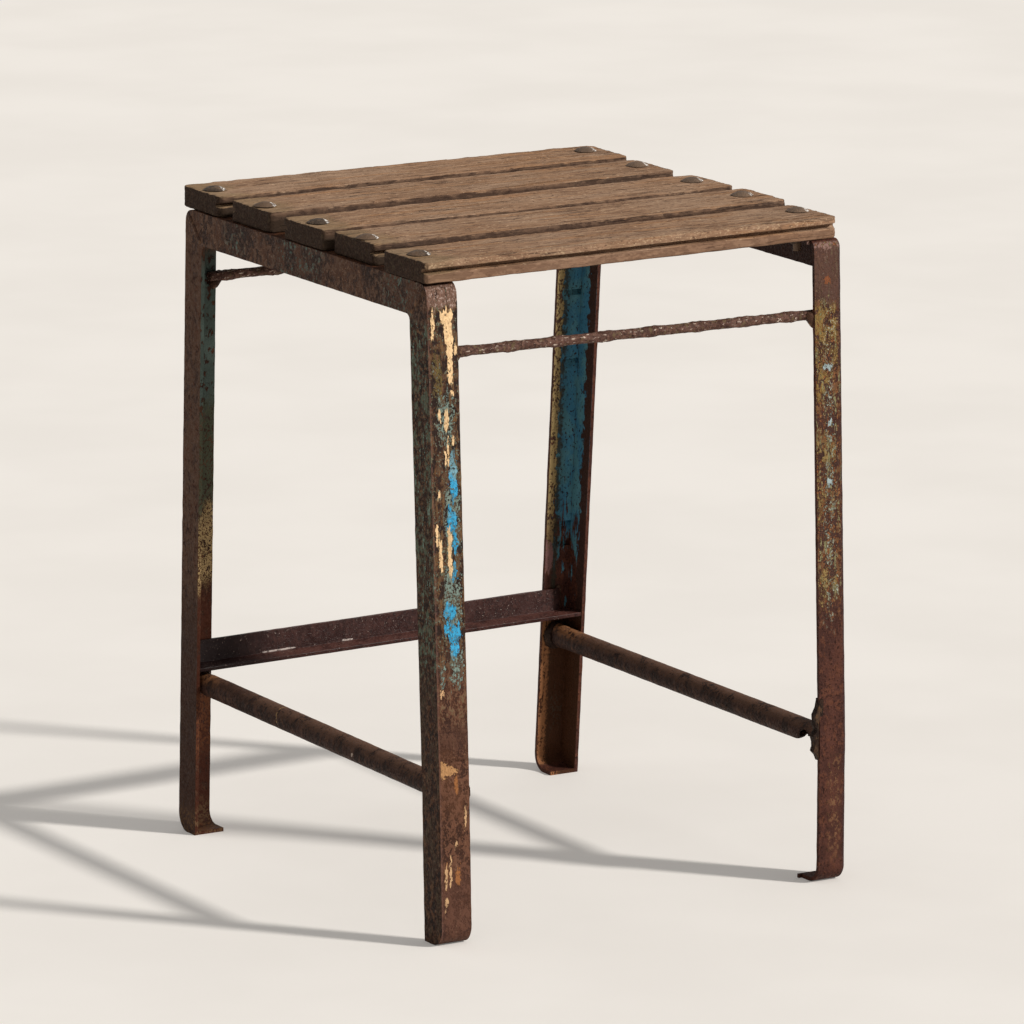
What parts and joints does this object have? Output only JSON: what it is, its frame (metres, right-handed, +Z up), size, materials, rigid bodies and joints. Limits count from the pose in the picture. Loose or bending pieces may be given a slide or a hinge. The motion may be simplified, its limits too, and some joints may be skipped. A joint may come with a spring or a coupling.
{
  "type": "industrial stool",
  "caption": "Square backless work stool: grooved timber slats bolted on two welded side frames of bent angle steel, tied by ribbed bars, low foot tubes and a back stretcher.",
  "frame": {"origin": "on the floor, at the middle of the box around the whole stool in plan", "axes": "+X to the right along the slats, +Y from the front to the back, +Z up"},
  "size_m": [0.3625, 0.4094, 0.5033],
  "materials": {
    "weathered_wood": "dry, weathered and unvarnished, with open grain",
    "rusty_angle_steel": "dark rust under worn cream, ochre and blue paint, satin",
    "rusty_tube_steel": "dark brown rust, satin",
    "dark_angle_steel": "dark purplish brown, half gloss",
    "ribbed_bar_steel": "rust brown with traces of paint",
    "dull_bolt_steel": "dull dark grey with worn bright rims",
    "weld_steel": "lumpy rusted weld"
  },
  "bodies": {
    "root": {"back_bar_welds": "weld_steel", "back_ribbed_bar": "ribbed_bar_steel", "back_stretcher": "dark_angle_steel", "front_bar_welds": "weld_steel", "front_ribbed_bar": "ribbed_bar_steel", "left_bolt_nuts": "dull_bolt_steel", "left_corner_welds": "weld_steel", "left_foot_tube": "rusty_tube_steel", "left_side_frame": "rusty_angle_steel", "left_slat_bolts": "dull_bolt_steel", "left_tube_welds": "weld_steel", "right_bolt_nuts": "dull_bolt_steel", "right_corner_welds": "weld_steel", "right_foot_tube": "rusty_tube_steel", "right_side_frame": "rusty_angle_steel", "right_slat_bolts": "dull_bolt_steel", "right_tube_welds": "weld_steel", "slat_1_back": "weathered_wood", "slat_2": "weathered_wood", "slat_3_middle": "weathered_wood", "slat_4": "weathered_wood", "slat_5_front": "weathered_wood", "stretcher_welds": "weld_steel"}
  },
  "joints": []
}
